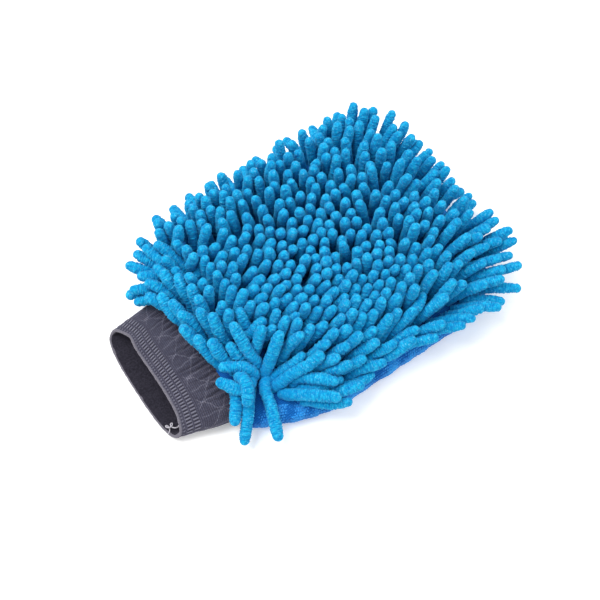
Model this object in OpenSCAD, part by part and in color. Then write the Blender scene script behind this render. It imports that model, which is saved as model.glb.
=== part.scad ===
// Wash mitt: a towelling and knit pocket with rows of chenille noodles, and a double knitted cuff.
// +X runs from the cuff to the fingertips and +Z is up. The mitt lies on its back panel at z = 0.

/* [Overall] */
// Length from the cuff's lip to the last noodle tips
total_len = 280; // [270:1:290]
// Length of the pocket, from its seam with the cuff to the fingertip edge
pocket_len = 215; // [211:1:219]
// Width of the pocket
pocket_w = 180; // [172:1:190]
// Width of the pocket where the cuff joins it
neck_w = 138; // [134:1:144]
// Height of the pocket at its middle
pocket_h = 19; // [17:1:22]
// Radius of the two fingertip corners in plan
corner_r = 52; // [40:1:60]

/* [Cloth] */
// Height of the side seam above the surface
seam_z = 10; // [8:1:11]
// Thickness of the back panel and of the front base cloth
cloth_t = 2.4; // [2:0.1:3]
// Radius of the back panel's lower edge
edge_r = 6; // [3:1:7]

/* [Noodles] */
// Number of noodle rows
rows = 20; // [20:1:20]
// Thickness of one noodle
noodle_d = 7.8; // [7:0.1:8]
// Length of one noodle above the cloth
noodle_len = 30; // [26:1:32]
// Distance between the noodles of one row
noodle_pitch = 10.2; // [10:0.1:11.5]
// Lean of the first row towards the cuff, in degrees
lean_cuff = 24; // [0:1:28]
// Lean of the last row past the fingertip edge, in degrees
lean_tips = 58; // [40:1:60]
// Lean of the outermost noodles past the sides, in degrees
lean_sides = 48; // [30:1:50]

/* [Cuff] */
// Length of the cuff along its lower side
cuff_len = 51; // [46:1:54]
// Width of the cuff at its opening
cuff_open_w = 94; // [88:1:100]
// Width of the cuff at the pocket
cuff_join_w = 118; // [112:1:124]
// Height of the cuff at the pocket
cuff_join_h = 18; // [16:1:18]
// Height of the cuff at its opening
cuff_open_h = 17; // [15:1:20]
// How far the upper rim is set back from the lower lip
rim_setback = 15; // [8:1:18]
// Thickness of each of the cuff's two plies
ply_t = 1.5; // [1.2:0.1:1.8]

/* [Hidden] */
$fn = 48;

lip_x = -total_len / 2;
fold_gap = 0.6;                        // clear space between the cuff and the pocket
cuff_x = lip_x + cuff_len;             // where the cuff ends
neck_x = cuff_x + fold_gap;            // where the pocket starts
end_x = neck_x + pocket_len;           // the fingertip edge
shoulder_x = neck_x + 65;              // the pocket reaches its full width here
side_rise = pocket_h - seam_z;
ply_gap = 0.2;
stitch_h = 1.6;                        // height of the stitched yarn between two noodles
stitch_w = 5;
edge_margin = 4;                       // cloth left outside the outermost noodles
ring_sides = 48;
ring_steps = 4;

noodle_r = noodle_d / 2;
stem_len = noodle_len - noodle_d;      // between the centres of a noodle's two round ends
first_row_x = neck_x + 7;
last_row_x = total_len / 2 - noodle_r - stem_len * sin(lean_tips);
row_pitch = (last_row_x - first_row_x) / (rows - 1);

function ease(t) = (1 - cos(180 * t)) / 2;
function signed_pow(v, p) = sign(v) * pow(abs(v), p);

// ---- Pocket ----

// Half-width of the pocket at x, in plan.
function half_w(x) =
    x < shoulder_x ? neck_w / 2
        + (pocket_w - neck_w) / 2 * sin(90 * max(0, x - neck_x) / (shoulder_x - neck_x))
    : x < end_x - corner_r ? pocket_w / 2
    : pocket_w / 2 - corner_r
        + sqrt(max(0, pow(corner_r, 2) - pow(x - end_x + corner_r, 2)));

// One side of the plan outline, from the neck to the fingertip edge, moved inwards by inset.
function plan_side(inset, from_x) = concat(
    [[from_x, neck_w / 2 - inset]],
    [for (i = [0:10]) let (x = neck_x + (shoulder_x - neck_x) * i / 10) [x, half_w(x) - inset]],
    [for (a = [90:-7.5:0]) [
        end_x - corner_r + (corner_r - inset) * cos(a),
        pocket_w / 2 - corner_r + (corner_r - inset) * sin(a),
    ]]
);

function plan(inset, from_x) = let (side = plan_side(inset, from_x)) concat(
    side, [for (i = [len(side) - 1:-1:0]) [side[i][0], -side[i][1]]]
);

// Height of the front at a share v of the way from the middle to an edge.
function crown(v) = seam_z + side_rise * sqrt(max(0, 1 - pow(min(1, abs(v)), 4)));

// An upright half profile that ends at reach: a round lower edge, the side, then the crowned front.
function half_profile(reach, start, inset) = concat(
    [for (a = [-90:15:0]) [
        reach - edge_r + (edge_r - inset) * cos(a),
        edge_r + (edge_r - inset) * sin(a),
    ]],
    [for (i = [0:14]) let (a = 90 * i / 14, v = cos(a)) [
        start + (reach - inset - start) * v,
        crown(v) - inset * (1 - v * v * 0.6),
    ]]
);

function cross_profile(inset) = let (half = half_profile(pocket_w / 2, 0, inset)) concat(
    half, [for (i = [len(half) - 1:-1:0]) [-half[i][0], half[i][1]]]
);

function long_profile(inset) = concat(
    half_profile(end_x, end_x - pocket_w / 2, inset),
    [[neck_x - 20, pocket_h - inset], [neck_x - 20, inset]]
);

// The pocket as one solid, with its whole surface moved inwards by inset.
module pocket(inset, from_x) {
    intersection() {
        linear_extrude(2 * pocket_h) polygon(plan(inset, from_x));
        translate([neck_x - 20, 0, 0]) rotate([90, 0, 90])
            linear_extrude(pocket_len + 40) polygon(cross_profile(inset));
        rotate([90, 0, 0]) linear_extrude(pocket_w + 20, center = true) polygon(long_profile(inset));
    }
}

module pocket_shell() {
    difference() {
        pocket(0, neck_x);
        pocket(cloth_t, neck_x - 10);
    }
}

module slab(z_low, z_high) {
    translate([-total_len, -pocket_w, z_low]) cube([2 * total_len, 2 * pocket_w, z_high - z_low]);
}

module back_panel() {
    color("royalblue") intersection() {
        pocket_shell();
        slab(0, seam_z);
    }
}

module front_base_cloth() {
    color("mediumblue") intersection() {
        pocket_shell();
        slab(seam_z, 2 * pocket_h);
    }
}

// The overlocked allowance inside the pocket, along the seam between front and back.
module side_seam() {
    seam_h = 2.4;
    seam_w = 4.5;
    wall = cloth_t + 0.05;
    join_clear = 6;
    color("navy") translate([0, 0, edge_r + 0.4]) linear_extrude(seam_h) difference() {
        polygon(plan(wall, neck_x));
        polygon(plan(wall + seam_w, neck_x - 10));
        translate([neck_x - 10, -pocket_w]) square([10 + join_clear, 2 * pocket_w]);
    }
}

// ---- Noodles ----

function row_x(i) = first_row_x + row_pitch * (i - 1);
function row_reach(i) = half_w(row_x(i)) - edge_margin;
function row_count(i) = let (n = floor(2 * row_reach(i) / noodle_pitch)) n + (n + i) % 2;
function root_y(i, j) = row_reach(i) * (2 * j / (row_count(i) - 1) - 1);
function front_z(x, y) = min(
    crown(y / (pocket_w / 2)), crown(max(0, (x - end_x + pocket_w / 2) / (pocket_w / 2)))
);

// Leans in degrees: rows lean to the cuff at one end and past the fingertips at the other.
level_row = 0.45;
function lean_x(i) = let (t = (i - 1) / (rows - 1)) t < level_row
    ? -lean_cuff * pow(1 - t / level_row, 1.4)
    : lean_tips * pow((t - level_row) / (1 - level_row), 1.8);
function lean_y(y) = let (v = y / (pocket_w / 2 - edge_margin)) lean_sides * v * abs(v);

module noodle(x, y, leaning_x, leaning_y) {
    slope = [tan(leaning_x), tan(leaning_y)];
    tilt = atan(norm(slope));
    translate([x, y, front_z(x, y) + noodle_r]) rotate([0, 0, atan2(slope[1], slope[0])])
        rotate([0, tilt, 0]) {
            sphere(noodle_r);
            cylinder(h = stem_len, r = noodle_r);
            translate([0, 0, stem_len]) sphere(noodle_r);
        }
}

// One yarn: its noodles, and the stitched lengths between them that lie on the base cloth.
module noodle_row(i) {
    color("deepskyblue") difference() {
        union() {
            intersection() {
                pocket(-stitch_h, neck_x);
                translate([row_x(i) - stitch_w / 2, -row_reach(i) - 1, seam_z + 2])
                    cube([stitch_w, 2 * row_reach(i) + 2, 2 * pocket_h]);
            }
            for (j = [0:row_count(i) - 1])
                noodle(row_x(i), root_y(i, j), lean_x(i), lean_y(root_y(i, j)));
        }
        pocket(0, neck_x);
    }
}

// ---- Cuff ----

// A point on the cuff. s runs from the pocket to a ring that is back from the lip, and a is the
// angle round it from +Y.
function cuff_point(s, a, inset, back) = let (
    w = cuff_join_w + (cuff_open_w - cuff_join_w) * ease(s * 0.75) / ease(0.75),
    h = cuff_join_h + (cuff_open_h - cuff_join_h) * s,
    up = signed_pow(sin(a), 0.75),
    out = signed_pow(cos(a), 0.75),
    length = cuff_len - back - rim_setback * (1 + up) / 2
) [cuff_x - length * s, (w / 2 - inset) * out, h / 2 + (h / 2 - inset) * up];

function cuff_ring(s, inset, back) = [
    for (k = [0:ring_sides - 1]) cuff_point(s, 360 * k / ring_sides, inset, back)
];

// Faces between rings of n points each; the last ring joins the first when closed is true.
function ring_faces(rings, n, closed) = [
    for (r = [0:rings - (closed ? 1 : 2)]) for (k = [0:n - 1]) each let (
        a = r * n + k, b = r * n + (k + 1) % n,
        c = ((r + 1) % rings) * n + k, d = ((r + 1) % rings) * n + (k + 1) % n
    ) [[a, b, d], [a, d, c]]
];

// A tube of cloth between two insets of the cuff's surface.
rim_r = 1.6;
ply_back = 2 * rim_r + 1;
module cuff_ply(outer, inner) {
    rings = concat(
        [for (i = [0:ring_steps]) cuff_ring(i / ring_steps, outer, ply_back)],
        [for (i = [ring_steps:-1:0]) cuff_ring(i / ring_steps, inner, ply_back)]
    );
    polyhedron([for (ring = rings) each ring], ring_faces(len(rings), ring_sides, true));
}

module cuff_outer_ply() {
    color("dimgray") cuff_ply(0, ply_t);
}

module cuff_inner_ply() {
    color("gray") cuff_ply(ply_t + ply_gap, 2 * ply_t + ply_gap);
}

// A tube of radius r round a path; closed joins its last point to its first.
module swept_tube(path, r, sides, closed) {
    n = len(path);
    rings = [for (i = [0:n - 1]) let (
        before = path[closed ? (i + n - 1) % n : max(0, i - 1)],
        after = path[closed ? (i + 1) % n : min(n - 1, i + 1)],
        along = (after - before) / norm(after - before),
        flat = cross(along, [0.3, 0.1, 1]),
        side = flat / norm(flat),
        top = cross(side, along)
    ) [for (k = [0:sides - 1]) path[i] + r * (cos(360 * k / sides) * side - sin(360 * k / sides) * top)]];
    caps = closed ? [] : [
        [for (k = [sides - 1:-1:0]) k],
        [for (k = [0:sides - 1]) (n - 1) * sides + k]
    ];
    polyhedron([for (ring = rings) each ring], concat(ring_faces(n, sides, closed), caps));
}

module cuff_rim() {
    color("darkgray") swept_tube(cuff_ring(1, rim_r, rim_r), rim_r, 8, true);
}

// The sewn side of the cuff, a low ridge on its near lower side.
seam_angle = 215;
module cuff_side_seam() {
    color("black") swept_tube([for (s = [0.06:0.11:0.94])
        cuff_point(s, seam_angle, -0.75, ply_back)], 0.7, 8, false);
}

// The loose end of the seam's thread, curling inside the opening.
module thread_tail() {
    tail_r = 0.4;
    root = cuff_point(0.72, seam_angle, 2 * ply_t + ply_gap + tail_r + 0.2, ply_back);
    color("gainsboro") swept_tube([for (t = [0:0.125:1])
        root + [-9 * t, 5 * sin(150 * t), 1.5 * sin(170 * t)]], tail_r, 8, false);
}

// The gathered end of the pocket: a flat ring between the pocket's cloth and the cuff's hollow.
module cuff_join_seam() {
    join_t = 3.5;
    hollow = 2 * ply_t + ply_gap;
    color("darkslateblue") intersection() {
        difference() {
            pocket(cloth_t + 0.1, neck_x);
            translate([neck_x - 1, 0, cuff_join_h / 2]) rotate([90, 0, 90]) linear_extrude(join_t + 2)
                polygon([for (k = [0:ring_sides - 1]) let (p = cuff_point(0, 360 * k / ring_sides, hollow, 0))
                    [p[1], p[2] - cuff_join_h / 2]]);
        }
        translate([neck_x, -pocket_w, 0]) cube([join_t, 2 * pocket_w, 2 * pocket_h]);
    }
}

back_panel();
front_base_cloth();
side_seam();
cuff_join_seam();
cuff_outer_ply();
cuff_inner_ply();
cuff_rim();
cuff_side_seam();
thread_tail();
noodle_row(1);  // noodle_row_01
noodle_row(2);  // noodle_row_02
noodle_row(3);  // noodle_row_03
noodle_row(4);  // noodle_row_04
noodle_row(5);  // noodle_row_05
noodle_row(6);  // noodle_row_06
noodle_row(7);  // noodle_row_07
noodle_row(8);  // noodle_row_08
noodle_row(9);  // noodle_row_09
noodle_row(10);  // noodle_row_10
noodle_row(11);  // noodle_row_11
noodle_row(12);  // noodle_row_12
noodle_row(13);  // noodle_row_13
noodle_row(14);  // noodle_row_14
noodle_row(15);  // noodle_row_15
noodle_row(16);  // noodle_row_16
noodle_row(17);  // noodle_row_17
noodle_row(18);  // noodle_row_18
noodle_row(19);  // noodle_row_19
noodle_row(20);  // noodle_row_20
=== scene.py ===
import math

import bpy
import numpy as np
from mathutils import Matrix, Vector


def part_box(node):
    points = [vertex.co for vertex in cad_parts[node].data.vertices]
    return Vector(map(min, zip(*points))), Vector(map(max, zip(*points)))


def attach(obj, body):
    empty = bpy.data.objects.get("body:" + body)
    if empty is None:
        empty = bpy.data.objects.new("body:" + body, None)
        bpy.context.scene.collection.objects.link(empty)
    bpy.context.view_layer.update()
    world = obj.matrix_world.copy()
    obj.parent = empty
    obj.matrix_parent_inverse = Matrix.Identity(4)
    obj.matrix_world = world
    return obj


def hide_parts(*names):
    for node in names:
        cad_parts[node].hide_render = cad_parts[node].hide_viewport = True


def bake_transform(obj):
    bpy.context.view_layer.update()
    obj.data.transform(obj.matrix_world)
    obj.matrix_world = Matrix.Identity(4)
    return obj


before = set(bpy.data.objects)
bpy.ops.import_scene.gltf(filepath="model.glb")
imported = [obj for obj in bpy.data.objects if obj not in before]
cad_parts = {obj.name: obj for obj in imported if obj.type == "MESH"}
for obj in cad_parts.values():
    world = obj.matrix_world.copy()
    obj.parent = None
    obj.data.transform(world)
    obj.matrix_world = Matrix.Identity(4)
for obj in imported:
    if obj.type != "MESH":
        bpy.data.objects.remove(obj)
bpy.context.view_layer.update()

MM = 0.001
UP = np.array([0.0, 0.0, 1.0])
# How far above the floor cloth and thread stay, in mm.
CLOTH_CLEAR = 0.05
CUFF_CLEAR = 0.1


# ---- the frame, in millimetres

def box_mm(node):
    low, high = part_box(node)
    return np.array(low) / MM, np.array(high) / MM


BACK_LOW, BACK_HIGH = box_mm("back_panel")
FRONT_HIGH = box_mm("front_base_cloth")[1]
CUFF_HIGH = box_mm("cuff_outer_ply")[1]
RIM_LOW, RIM_HIGH = box_mm("cuff_rim")
ROWS = sorted(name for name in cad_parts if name.startswith("noodle_row"))

# The pocket: the cuff joins it at NECK_X, and its front is highest at TOP_Z.
NECK_X, END_X = BACK_LOW[0], BACK_HIGH[0]
HALF_W = BACK_HIGH[1]
SEAM_Z, TOP_Z = BACK_HIGH[2], FRONT_HIGH[2]
NECK_HALF_W = 69.0
SHOULDER_X = NECK_X + 65
CORNER_R = 52.0

# The noodles: ROOT_X is where each row is sewn. A row stops EDGE_MARGIN short of the pocket's edge,
# and NEAR_MARGIN more on the near side.
NOODLE_R = 3.75
NOODLE_LEN = 33.5
NOODLE_PITCH = 8.3
CAD_NOODLE_R = 3.9
EDGE_MARGIN = 5.0
NEAR_MARGIN = 5.0
NECK_ROW_SHIFT = 2.5
ROOT_X = np.linspace(
    box_mm(ROWS[0])[1][0] - CAD_NOODLE_R, box_mm(ROWS[-1])[0][0] + CAD_NOODLE_R, len(ROWS)
)
ROOT_X[0] -= NECK_ROW_SHIFT


def half_width(x):
    """Half-width of the pocket in plan at x."""
    x = np.asarray(x, float)
    shoulder = np.clip((x - NECK_X) / (SHOULDER_X - NECK_X), 0, 1)
    width = NECK_HALF_W + (HALF_W - NECK_HALF_W) * np.sin(np.pi / 2 * shoulder)
    into_corner = np.clip(x - (END_X - CORNER_R), 0, CORNER_R)
    return width - CORNER_R + np.sqrt(CORNER_R**2 - into_corner**2)


def crown(v):
    """Height of the front at v, which is 0 in the middle and 1 or -1 at the seam."""
    return SEAM_Z + (TOP_Z - SEAM_Z) * np.sqrt(np.clip(1 - np.clip(np.abs(v), 0, 1) ** 4, 0, None))


def front_height(x, y):
    """Height of the pocket's front at a place in plan."""
    across = crown(np.abs(y) / half_width(x))
    along = crown(np.clip((x - END_X + HALF_W) / HALF_W, 0, 1))
    return np.minimum(across, along)


# ---- camera

FOCAL_MM = 53.4
CAMERA_AT = Vector((-0.1787, -0.2556, 0.5770))
CAMERA_AZIMUTH, CAMERA_ELEVATION = math.radians(-34.7), math.radians(62.1)


def add_camera():
    data = bpy.data.cameras.new("camera")
    data.lens = FOCAL_MM
    data.sensor_width = 36
    data.clip_start = 0.05
    camera = bpy.data.objects.new("camera", data)
    bpy.context.scene.collection.objects.link(camera)
    back = Vector((
        math.sin(CAMERA_AZIMUTH) * math.cos(CAMERA_ELEVATION),
        -math.cos(CAMERA_AZIMUTH) * math.cos(CAMERA_ELEVATION),
        math.sin(CAMERA_ELEVATION),
    ))
    right = Vector((math.cos(CAMERA_AZIMUTH), math.sin(CAMERA_AZIMUTH), 0))
    up = back.cross(right)
    camera.matrix_world = Matrix.Translation(CAMERA_AT) @ Matrix((right, up, back)).transposed().to_4x4()
    bpy.context.scene.camera = camera


# ---- mesh helpers

def add_mesh(name, points_mm, faces, material, attributes=None):
    """A smooth-shaded object from points in millimetres. faces is one array of faces, or a list of
    arrays with different numbers of corners. attributes are named floats, one for each point."""
    mesh = bpy.data.meshes.new(name)
    points = np.asarray(points_mm, np.float32).reshape(-1, 3) * MM
    groups = faces if isinstance(faces, list) else [faces]
    corners = np.concatenate([np.full(len(g), g.shape[1], np.int32) for g in groups])
    used = np.concatenate([g.ravel() for g in groups]).astype(np.int32)
    mesh.vertices.add(len(points))
    mesh.vertices.foreach_set("co", points.ravel())
    mesh.loops.add(len(used))
    mesh.loops.foreach_set("vertex_index", used)
    mesh.polygons.add(len(corners))
    mesh.polygons.foreach_set("loop_start", (np.cumsum(corners) - corners).astype(np.int32))
    mesh.polygons.foreach_set("loop_total", corners)
    mesh.update(calc_edges=True)
    mesh.validate()
    mesh.polygons.foreach_set("use_smooth", np.ones(len(mesh.polygons), bool))
    for key, values in (attributes or {}).items():
        mesh.attributes.new(key, "FLOAT", "POINT").data.foreach_set(
            "value", np.asarray(values, np.float32).ravel()
        )
    mesh.materials.append(material)
    obj = bpy.data.objects.new(name, mesh)
    bpy.context.scene.collection.objects.link(obj)
    return obj


def grid_faces(rings, around, closed_rings=False, closed_around=True):
    """Quads of a grid of rings by points, with the last joined to the first where closed."""
    r = np.arange(rings if closed_rings else rings - 1)[:, None]
    k = np.arange(around if closed_around else around - 1)[None, :]
    a = r * around + k
    b = r * around + (k + 1) % around
    c = ((r + 1) % rings) * around + (k + 1) % around
    d = ((r + 1) % rings) * around + k
    return np.stack([a, b, c, d], -1).reshape(-1, 4)


def unit(v):
    """Vectors scaled to length 1."""
    return v / np.maximum(np.linalg.norm(v, axis=-1, keepdims=True), 1e-9)


def distance_along(line):
    """How far each point of a line is from its first, along the line."""
    return np.concatenate([[0], np.cumsum(np.linalg.norm(np.diff(line, axis=0), axis=1))])


def points_at(line, distances):
    """Points of a line at these distances along it."""
    along = distance_along(line)
    return np.stack([np.interp(distances, along, column) for column in line.T], 1)


SPAN_STEPS = 8


def smooth_path(nodes, count):
    """count points along a Catmull-Rom curve through the nodes, evenly spaced by length."""
    nodes = np.vstack([2 * nodes[0] - nodes[1], nodes, 2 * nodes[-1] - nodes[-2]])
    t = np.linspace(0, 1, SPAN_STEPS + 1)[:-1, None]
    parts = []
    for a, b, c, d in zip(nodes, nodes[1:], nodes[2:], nodes[3:]):
        parts.append(0.5 * (2 * b + (c - a) * t + (2 * a - 5 * b + 4 * c - d) * t**2
                            + (3 * b - a - 3 * c + d) * t**3))
    parts.append(nodes[-2][None])
    line = np.vstack(parts)
    return points_at(line, np.linspace(0, distance_along(line)[-1], count))


# a direction that no path here starts in
ASKEW = (0.31, 0.17, 0.93)


def sweep_frames(path):
    """Unit vectors along the path and two across it, at each of its points, with no twist between them."""
    along = unit(np.gradient(path, axis=0))
    side = np.empty_like(path)
    first = np.cross(along[0], ASKEW)
    side[0] = first / np.linalg.norm(first)
    for i in range(1, len(path)):
        turned = side[i - 1] - along[i] * (side[i - 1] @ along[i])
        side[i] = turned / np.linalg.norm(turned)
    return along, side, np.cross(along, side)


def full_turn(count):
    """Even angles round a circle, in radians."""
    return np.linspace(0, 2 * np.pi, count, endpoint=False)


def rings_round(path, side, top, radius, sides, widen=1.0):
    """Points in rings round a path. radius has a number for each of them, and widen stretches side."""
    angle = full_turn(sides)[None, :, None]
    return path[:, None] + radius[..., None] * (
        widen * np.cos(angle) * side[:, None] + np.sin(angle) * top[:, None]
    )


def end_caps(rings, sides):
    """The faces that close both ends of a tube."""
    return np.stack([np.arange(sides)[::-1], (rings - 1) * sides + np.arange(sides)])


def tube(path, radius, sides):
    """Points and faces of a tube with flat ends. radius is one number, or one for each path point."""
    _, side, top = sweep_frames(path)
    points = rings_round(path, side, top, np.broadcast_to(radius, (len(path), sides)), sides)
    return points.reshape(-1, 3), [grid_faces(len(path), sides), end_caps(len(path), sides)]


# ---- how the noodles lie

# Places on the front (x, y in mm) and how a noodle rooted there is combed: its compass direction
# from +X towards +Y, and its height above the surface, both in degrees.
COMB = [
    # over the cuff, and the far corner beside it
    (-83, 44, 190, 60), (-83, 32, 200, 72), (-83, 20, 215, 78), (-83, 8, 215, 78), (-83, -4, 200, 74),
    (-83, -16, 180, 52), (-82, 60, 140, 20), (-74, 72, 112, 60), (-62, 78, 90, 84),
    (-72, 40, 190, 72), (-72, 24, 40, 70), (-72, 8, 60, 70), (-72, -8, 60, 60),
    (-62, 60, 60, 76), (-50, 84, 90, 86),
    # the near corner beside the cuff, where they part in a star
    (-82, -28, 150, 30), (-82, -38, 158, 20), (-82, -48, 160, 18), (-72, -28, 84, 44), (-71, -40, 84, 24),
    (-72, -50, 110, 20), (-82, -60, 228, 0), (-72, -62, 236, -25), (-61, -64, 244, -20),
    (-60, -46, 30, 34), (-60, -54, 12, 18), (-50, -62, -16, 12), (-60, -32, 60, 44), (-50, -48, 20, 34),
    # the left third
    (-66, 28, 42, 64), (-66, 8, 30, 60), (-62, -12, 20, 56), (-46, 36, -34, 68), (-44, 8, -30, 60),
    (-42, -14, -20, 52), (-40, -36, -10, 50), (-26, -58, -22, 52), (-24, 22, -36, 70), (-26, 64, 92, 76),
    # the middle, with its swirl
    (8, 46, 236, 80), (-4, 12, 290, 74), (0, -18, -30, 56), (18, -12, 160, 74), (8, -44, 8, 52),
    (26, -36, 20, 58), (40, 8, 215, 80), (50, -24, 220, 82), (42, -58, 14, 66), (70, 26, 170, 84),
    (84, 0, -60, 82), (78, 62, 58, 82), (40, 56, 235, 86), (70, -50, 20, 70), (10, 66, 100, 82),
    # the fingertip end
    (106, 82, 84, 66), (98, 70, 60, 62), (112, 72, 24, 58), (108, 53, 6, 54), (100, 40, 50, 78),
    (116, 40, -8, 54), (122, 20, -10, 54), (123, 0, -12, 56), (123, -16, -14, 54), (121, -32, -18, 52),
    (116, -46, -26, 46), (104, -20, -60, 80), (94, -56, -16, 48), (104, -55, -22, 20),
    (112, -60, -28, 6), (104, -68, -34, 0), (96, -70, -40, -10),
    # the two long edges
    (-30, 86, 90, 88), (0, 88, 90, 86), (30, 88, 90, 86), (60, 88, 90, 84), (86, 87, 90, 76),
    (-50, -74, -34, -6), (-24, -80, -18, 0), (0, -82, -10, 3), (22, -82, -30, -4), (42, -81, -50, -9),
    (58, -81, -48, -9), (74, -80, -43, -11), (88, -78, -46, -14),
    (-34, -66, -8, 34), (-10, -70, 14, 40), (10, -71, 34, 48), (30, -72, 42, 52), (48, -72, 40, 55),
    (64, -72, 28, 55), (80, -70, -3, 48), (88, -66, -12, 36),
]
# Noodles of the corners and edges, set one by one: root in plan, compass direction and
# height of the tip's direction, and length.
STRAYS = [
    (-66, -42, 90, 40, 44), (-74, -20, 88, 44, 36), (-70, -40, 112, 24, 28), (-70, -38, -127, -16, 42),
    (-63, -50, -113, -24, 46), (-80, -44, -138, -22, 32), (-77, -50, -130, -30, 40),
    (-70, -42, 141, 12, 34), (-74, -46, 148, 8, 34), (-64, -48, 26, 42, 38), (-50, -45, 7, 40, 34),
    (-60, -52, -13, 16, 30), (-62, -57, -10, 14, 44), (-60, -64, -42, -4, 42), (-52, -64, -34, 2, 38),
    (-66, -30, 5, 42, 34), (-62, -20, -8, 40, 34), (-64, -25, -4, 42, 34),
    (-84, -24, 108, 28, 30), (-85, -14, 102, 30, 32), (-84, -4, 100, 34, 32), (-85, 6, 104, 28, 32),
    (-86, 15, 108, 18, 32), (-86, 25, 111, 14, 30), (-85, 34, 120, 14, 30), (-78, -32, 112, 24, 30),
    (-76, -10, 92, 44, 34), (-76, 0, 84, 50, 34), (-76, 10, 80, 52, 34), (-76, 20, 92, 46, 34),
    (-76, 29, 100, 40, 34), (-74, 38, 112, 30, 32),
    (-80, 50, 140, 6, 30), (-84, 48, 156, -2, 30), (-85, 43, 160, -12, 28), (-72, 52, 113, 10, 36),
    (-66, 46, 102, 26, 38), (-67, 40, 27, 52, 36), (-70, 34, 128, 40, 28), (-64, 62, 64, 66, 36),
    (-74, 60, 118, 16, 32), (-68, 70, 90, 80, 32), (-80, 57, 132, 8, 31), (-70, 46, 120, 50, 30),
    (-76, 66, 112, 30, 30), (-86, 52, 166, -6, 28),
    # the far corner of the fingertip end
    (104, 84, 40, 72, 38), (97, 86, 72, 80, 37), (110, 78, 16, 62, 37),
    # lower noodles that hang over the far edge and the fingertip end
    (-56, 85, 104, 8, 26), (-42, 88, 88, -6, 27), (-27, 90, 98, 10, 25), (-12, 90, 80, -2, 27),
    (4, 90, 96, 6, 26), (19, 90, 84, -8, 27), (35, 90, 100, 8, 26), (51, 90, 86, -2, 26),
    (66, 90, 94, 8, 27), (82, 89, 76, -4, 27), (97, 84, 62, 4, 26), (110, 76, 48, -4, 26),
    (120, 66, 30, 4, 25), (126, 50, 10, -6, 24), (127, 34, -8, 6, 24), (127, 17, 6, -8, 24),
    (127, 0, -10, 2, 24), (127, -17, 4, -8, 24), (127, -34, -12, 4, 24), (124, -50, -24, -6, 24),
]
# Ovals in plan where only those are rooted: middle (x, y) and half-lengths.
STRAY_CORNERS = ((-68, -50, 21, 26), (-80, 10, 9, 62), (-76, 54, 13, 22))
COMB_REACH = 7.5
FAR_PULL, FAR_PULL_FROM = 1e-3, 30


def directions(table):
    """Unit vectors of a table's compass directions and heights."""
    compass, height = np.radians(table[:, 2:4]).T
    return np.stack([
        np.cos(compass) * np.cos(height), np.sin(compass) * np.cos(height), np.sin(height)
    ], 1)


def comb_direction(x, y):
    """Unit vectors that say how noodles rooted at x, y are combed."""
    table = np.array(COMB, float)
    apart = (x[:, None] - table[:, 0]) ** 2 + (y[:, None] - table[:, 1]) ** 2
    weight = np.exp(-apart / (2 * COMB_REACH**2)) + FAR_PULL / (apart + FAR_PULL_FROM)
    return unit(weight @ directions(table))


ROOT_JITTER_X, ROOT_JITTER_Y = 0.9, 0.7


def noodle_roots(rng):
    """Row number and place in plan of each noodle, staggered from row to row, and whether it is a stray."""
    rows, places = [], []
    for i, x in enumerate(ROOT_X):
        reach = float(half_width(x)) - EDGE_MARGIN
        count = int(2 * reach / NOODLE_PITCH)
        count += (count + i + 1) % 2
        for y in np.linspace(NEAR_MARGIN - reach, reach, count):
            rows.append(i)
            places.append((x + rng.normal(0, ROOT_JITTER_X), y + rng.normal(0, ROOT_JITTER_Y)))
    rows, places = np.array(rows), np.array(places)
    x, y = places.T
    kept = np.ones(len(rows), bool)
    for mid_x, mid_y, half_x, half_y in STRAY_CORNERS:
        kept &= ((x - mid_x) / half_x) ** 2 + ((y - mid_y) / half_y) ** 2 > 1
    strays = np.array(STRAYS, float)
    stray_rows = np.abs(strays[:, :1] - ROOT_X[None, :]).argmin(1)
    return (
        np.concatenate([rows[kept], stray_rows]),
        np.vstack([places[kept], strays[:, :2]]),
        np.concatenate([np.zeros(kept.sum(), bool), np.ones(len(strays), bool)]),
    )


CUFF_TOP_HALF_W, CUFF_TOP_TAPER = 60, 12
CUFF_TOP_OVERLAP = 3
CUFF_TOP_LIP = 18
FAR_BELOW = -100.0


def cuff_top(x, y):
    """Rough height of the cuff's upper side, or far below the floor outside it."""
    along = np.clip((NECK_X - x) / (NECK_X - RIM_LOW[0]), 0, 1)
    half = CUFF_TOP_HALF_W - CUFF_TOP_TAPER * along
    inside = (x < NECK_X + CUFF_TOP_OVERLAP) & (np.abs(y) < half) & (x > RIM_HIGH[0] - CUFF_TOP_LIP)
    height = (CUFF_HIGH[2] - 1) * (1 - np.clip(np.abs(y) / half, 0, 1) ** 4) ** 0.4
    return np.where(inside, height, FAR_BELOW)


def push_out_of_mitt(points, radius):
    """Moves points that are inside the pocket, the cuff or the floor to their surface."""
    x, y, z = points[..., 0], points[..., 1], points[..., 2]
    half = half_width(np.clip(x, NECK_X, END_X))
    side_gap = np.abs(y) - half - radius
    end_gap = np.maximum(x - END_X, NECK_X - x) - radius
    outside = np.maximum(side_gap, end_gap)
    lift = front_height(np.clip(x, NECK_X, END_X), np.sign(y) * np.minimum(np.abs(y), half)) + radius - z
    deep = (outside < 0) & (lift > 0)
    up_first = deep & ((lift < -outside) | (z > SEAM_Z + radius * 0.5))
    sideways = deep & ~up_first
    z = np.where(up_first, z + lift, z)
    to_side = sideways & (side_gap > end_gap)
    y = np.where(to_side, y - np.sign(y) * side_gap, y)
    to_end = sideways & (side_gap <= end_gap) & (x > 0)
    x = np.where(to_end, x - end_gap, x)
    z = np.where(sideways & ~to_side & ~to_end, z + lift, z)
    z = np.maximum(z, cuff_top(x, y) + radius)
    z = np.maximum(z, radius)
    return np.stack([x, y, z], -1)


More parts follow.
